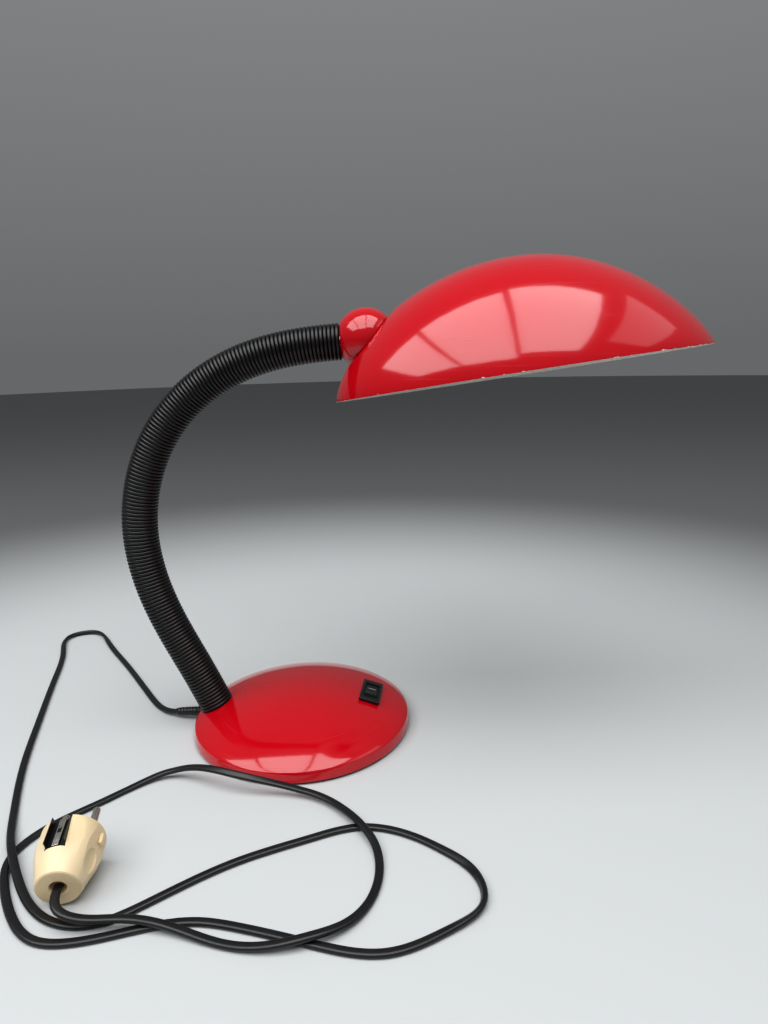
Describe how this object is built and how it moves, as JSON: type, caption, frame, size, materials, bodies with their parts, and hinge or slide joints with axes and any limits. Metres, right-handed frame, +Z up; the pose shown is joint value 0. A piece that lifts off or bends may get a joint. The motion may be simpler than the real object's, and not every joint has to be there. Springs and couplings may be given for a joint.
{
  "type": "gooseneck desk lamp",
  "caption": "Desk lamp with a round domed base, a flexible ribbed neck and an oval dish-shaped shade on a ball knuckle, with a mains cord and plug",
  "frame": {"origin": "middle of the underside of the base, on the surface that it stands on", "axes": "+Z up; +X from the foot of the neck, across the base and the switch, towards the front tip of the shade; +Y to the side away from the plug"},
  "size_m": [0.5865, 0.4273, 0.3606],
  "materials": {
    "red_enamel": "gloss",
    "black_pvc": "matte",
    "black_moulding": "satin",
    "zinc_plated_steel": "satin",
    "cast_iron": "matte",
    "foam_rubber": "matte",
    "brass": "satin",
    "nickel_plate": "gloss",
    "ivory_moulding": "satin",
    "opal_glass": "gloss",
    "white_moulding": "satin"
  },
  "bodies": {
    "base": {"base_cover": "red_enamel", "base_plate": "zinc_plated_steel", "base_weight": "cast_iron", "base_pad": "foam_rubber", "base_screw_1": "zinc_plated_steel", "base_screw_2": "zinc_plated_steel", "base_screw_3": "zinc_plated_steel", "neck_root_bolt": "zinc_plated_steel", "neck_root_washer": "zinc_plated_steel", "neck_root_nut": "zinc_plated_steel", "cord_grommet": "black_pvc", "cord_grip": "black_moulding", "terminal_block": "white_moulding", "switch_housing": "black_moulding", "switch_terminal_1": "brass", "switch_terminal_2": "brass", "neck_link_0": "black_pvc", "cord": "black_pvc", "plug_body": "ivory_moulding", "plug_earth_clip_1": "nickel_plate", "plug_earth_clip_2": "nickel_plate", "plug_pin_1": "nickel_plate", "plug_pin_2": "nickel_plate"},
    "rocker": {"switch_rocker": "black_moulding"},
    "neck_1": {"neck_link_1": "black_pvc"},
    "neck_2": {"neck_link_2": "black_pvc"},
    "neck_3": {"neck_link_3": "black_pvc"},
    "neck_4": {"neck_link_4": "black_pvc"},
    "neck_5": {"neck_link_5": "black_pvc"},
    "neck_6": {"neck_link_6": "black_pvc"},
    "neck_7": {"neck_link_7": "black_pvc"},
    "neck_8": {"neck_link_8": "black_pvc", "neck_end_ferrule": "zinc_plated_steel", "neck_end_nut": "zinc_plated_steel"},
    "knuckle": {"knuckle_ball": "red_enamel", "knuckle_cap": "red_enamel"},
    "head": {"shade": "red_enamel", "tilt_ball": "brass", "tilt_washer": "zinc_plated_steel", "tilt_nut": "zinc_plated_steel", "holder_bracket": "zinc_plated_steel", "holder_nipple": "brass", "holder_cap": "black_moulding", "holder_skirt": "black_moulding", "holder_thread": "brass", "holder_contact": "brass", "bulb_cap": "nickel_plate", "bulb_glass": "opal_glass"}
  },
  "joints": [
    {"name": "lower_bend", "type": "hinge", "parent": "base", "child": "neck_1", "pos_m": [-0.08354, 0, 0.04972], "axis": [0, 1, 0], "range_deg": [-11, 10]},
    {"name": "lower_sway", "type": "hinge", "parent": "neck_1", "child": "neck_2", "pos_m": [-0.10159, 0, 0.09061], "axis": [-0.9284, 0, -0.3715], "range_deg": [-10, 10]},
    {"name": "lower_bend_2", "type": "hinge", "parent": "neck_2", "child": "neck_3", "pos_m": [-0.11451, 0, 0.13332], "axis": [0, 1, 0], "range_deg": [-11, 10]},
    {"name": "middle_sway", "type": "hinge", "parent": "neck_3", "child": "neck_4", "pos_m": [-0.11665, 0, 0.1778], "axis": [-0.9946, 0, 0.1038], "range_deg": [-10, 10]},
    {"name": "upper_bend", "type": "hinge", "parent": "neck_4", "child": "neck_5", "pos_m": [-0.10519, 0, 0.22081], "axis": [0, 1, 0], "range_deg": [-11, 8]},
    {"name": "middle_sway_2", "type": "hinge", "parent": "neck_5", "child": "neck_6", "pos_m": [-0.08064, 0, 0.25791], "axis": [-0.7258, 0, 0.6879], "range_deg": [-10, 10]},
    {"name": "upper_bend_2", "type": "hinge", "parent": "neck_6", "child": "neck_7", "pos_m": [-0.045, 0, 0.28453], "axis": [0, 1, 0], "range_deg": [-11, 8]},
    {"name": "upper_sway", "type": "hinge", "parent": "neck_7", "child": "neck_8", "pos_m": [-0.0029, 0, 0.29912], "axis": [-0.2033, 0, 0.9791], "range_deg": [-10, 10]},
    {"name": "head_swivel", "type": "hinge", "parent": "neck_8", "child": "knuckle", "pos_m": [0.0615, 0, 0.3058], "axis": [0.9976, 0, 0.0698], "range_deg": [-45, 45]},
    {"name": "head_tilt", "type": "hinge", "parent": "knuckle", "child": "head", "pos_m": [0.0615, 0, 0.3058], "axis": [0.0055, 0.9969, -0.0783], "range_deg": [-30, 35]},
    {"name": "rocker", "type": "hinge", "parent": "base", "child": "rocker", "pos_m": [0.05662, 0, 0.02422], "axis": [0.9513, -0.108, -0.2886], "range_deg": [0, 18]}
  ],
  "couplings": [
    {"joint": "lower_bend_2", "follows": "lower_bend", "ratio": 1},
    {"joint": "upper_bend_2", "follows": "upper_bend", "ratio": 1},
    {"joint": "middle_sway", "follows": "lower_sway", "ratio": 1},
    {"joint": "middle_sway_2", "follows": "lower_sway", "ratio": 1},
    {"joint": "upper_sway", "follows": "lower_sway", "ratio": 1}
  ]
}
